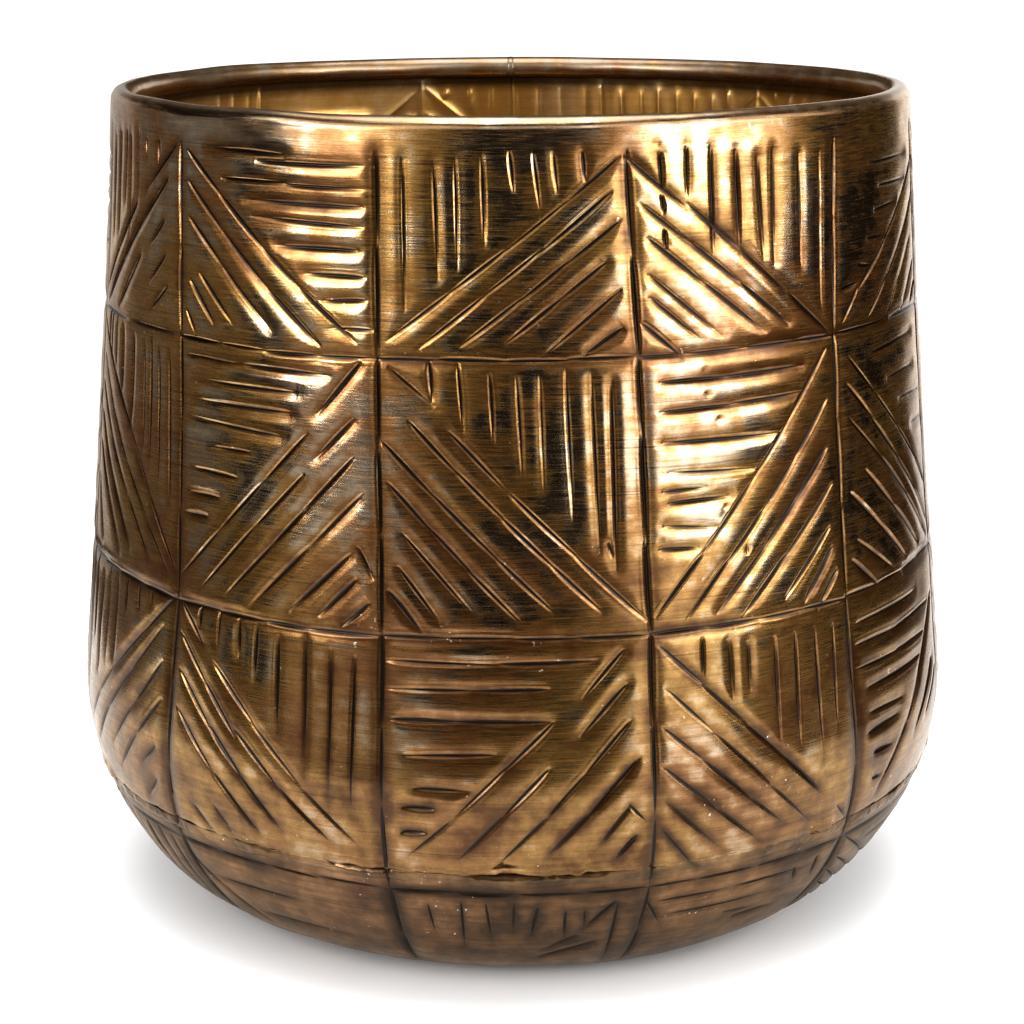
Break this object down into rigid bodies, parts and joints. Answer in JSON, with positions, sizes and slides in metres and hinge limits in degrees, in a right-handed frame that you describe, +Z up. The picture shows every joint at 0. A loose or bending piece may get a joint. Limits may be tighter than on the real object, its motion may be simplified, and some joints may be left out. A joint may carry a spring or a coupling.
{
  "type": "planter pot",
  "caption": "Round brass planter pot with a chased star pattern, a rim rolled inward over a wire and a bowl-shaped base brazed into the lower edge of the wall.",
  "frame": {"origin": "centre of the flat resting face of the base", "axes": "+Z up along the pot's axis towards the mouth, +Y towards the brazed side seam at the back"},
  "size_m": [0.3, 0.3, 0.275],
  "materials": {
    "wall_brass": "antique brass, finely brushed, dark patina in the chased lines",
    "base_brass": "antique brass, duller and browner than the wall",
    "steel_wire": "drawn, enclosed in the rim",
    "braze": "ragged run of brazing metal, tarnished"
  },
  "bodies": {
    "root": {"wall_sheet": "wall_brass", "rim_wire": "steel_wire", "base_pan": "base_brass", "base_seam_braze": "braze", "side_seam_braze": "braze"}
  },
  "joints": []
}
